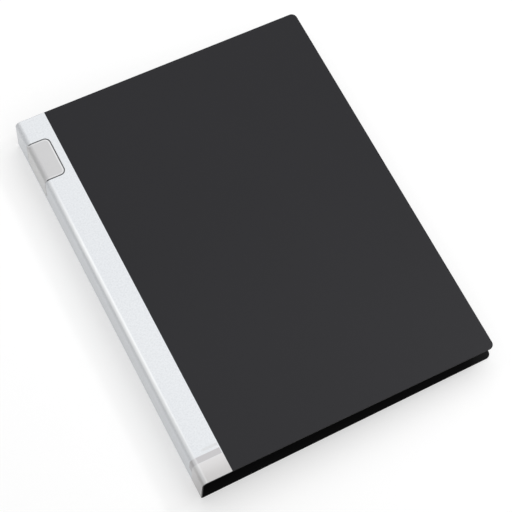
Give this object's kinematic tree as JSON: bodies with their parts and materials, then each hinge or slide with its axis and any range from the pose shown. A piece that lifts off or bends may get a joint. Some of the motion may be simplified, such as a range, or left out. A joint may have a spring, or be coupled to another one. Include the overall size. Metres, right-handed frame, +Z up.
{
  "type": "ring binder",
  "caption": "Ring binder with a folded sheet cover, round rings opened by end levers, and a label pocket over the spine fold.",
  "frame": {"origin": "centre of the underside of the closed binder's bounding box, on the back cover's outer face", "axes": "+X from the spine to the fore edge, +Y along the spine from the bottom end to the top end, +Z up through the thickness, as the binder lies on its back cover"},
  "size_m": [0.29, 0.376, 0.042],
  "materials": {
    "cover_sheet": "fine matte texture, silver printed band beside the fold",
    "spine_sheet": "silver print on the dark sheet, satin",
    "label": "clear film over grey card, dark outline",
    "plated_steel": "nickel plated",
    "bare_steel": "zinc plated, dull"
  },
  "bodies": {
    "back": {"back_cover": "cover_sheet", "mechanism_plate": "plated_steel", "rivet_bottom": "plated_steel", "rivet_top": "plated_steel", "lever_pin_bottom": "bare_steel", "lever_pin_top": "bare_steel"},
    "spine": {"spine": "spine_sheet", "label_pocket_spine": "label"},
    "front": {"front_cover": "cover_sheet", "label_pocket_front": "label"},
    "rings_left": {"rail_left": "bare_steel", "ring_left_1": "plated_steel", "ring_left_2": "plated_steel", "ring_left_3": "plated_steel", "ring_left_4": "plated_steel"},
    "rings_right": {"rail_right": "bare_steel", "ring_right_1": "plated_steel", "ring_right_2": "plated_steel", "ring_right_3": "plated_steel", "ring_right_4": "plated_steel"},
    "lever_top": {"lever_top": "plated_steel"},
    "lever_bottom": {"lever_bottom": "plated_steel"}
  },
  "joints": [
    {"name": "spine_hinge", "type": "hinge", "parent": "back", "child": "spine", "pos_m": [-0.14412, 0, 0.00088], "axis": [0, -1, 0], "range_deg": [0, 90]},
    {"name": "front_cover_hinge", "type": "hinge", "parent": "spine", "child": "front", "pos_m": [-0.14354, 0, 0.04054], "axis": [0, -1, 0], "range_deg": [0, 92.5]},
    {"name": "ring_left_hinge", "type": "hinge", "parent": "back", "child": "rings_left", "pos_m": [-0.1294, 0, 0.0036], "axis": [0, -1, 0], "range_deg": [0, 13]},
    {"name": "ring_right_hinge", "type": "hinge", "parent": "back", "child": "rings_right", "pos_m": [-0.1126, 0, 0.0036], "axis": [0, 1, 0], "range_deg": [0, 13]},
    {"name": "lever_top_hinge", "type": "hinge", "parent": "back", "child": "lever_top", "pos_m": [-0.121, 0.141, 0.005], "axis": [-1, 0, 0], "range_deg": [0, 22]},
    {"name": "lever_bottom_hinge", "type": "hinge", "parent": "back", "child": "lever_bottom", "pos_m": [-0.121, -0.141, 0.005], "axis": [1, 0, 0], "range_deg": [0, 22]}
  ],
  "couplings": [
    {"joint": "ring_right_hinge", "follows": "ring_left_hinge", "ratio": 1},
    {"joint": "lever_top_hinge", "follows": "ring_left_hinge", "ratio": 1.6923},
    {"joint": "lever_bottom_hinge", "follows": "ring_left_hinge", "ratio": 1.6923}
  ]
}
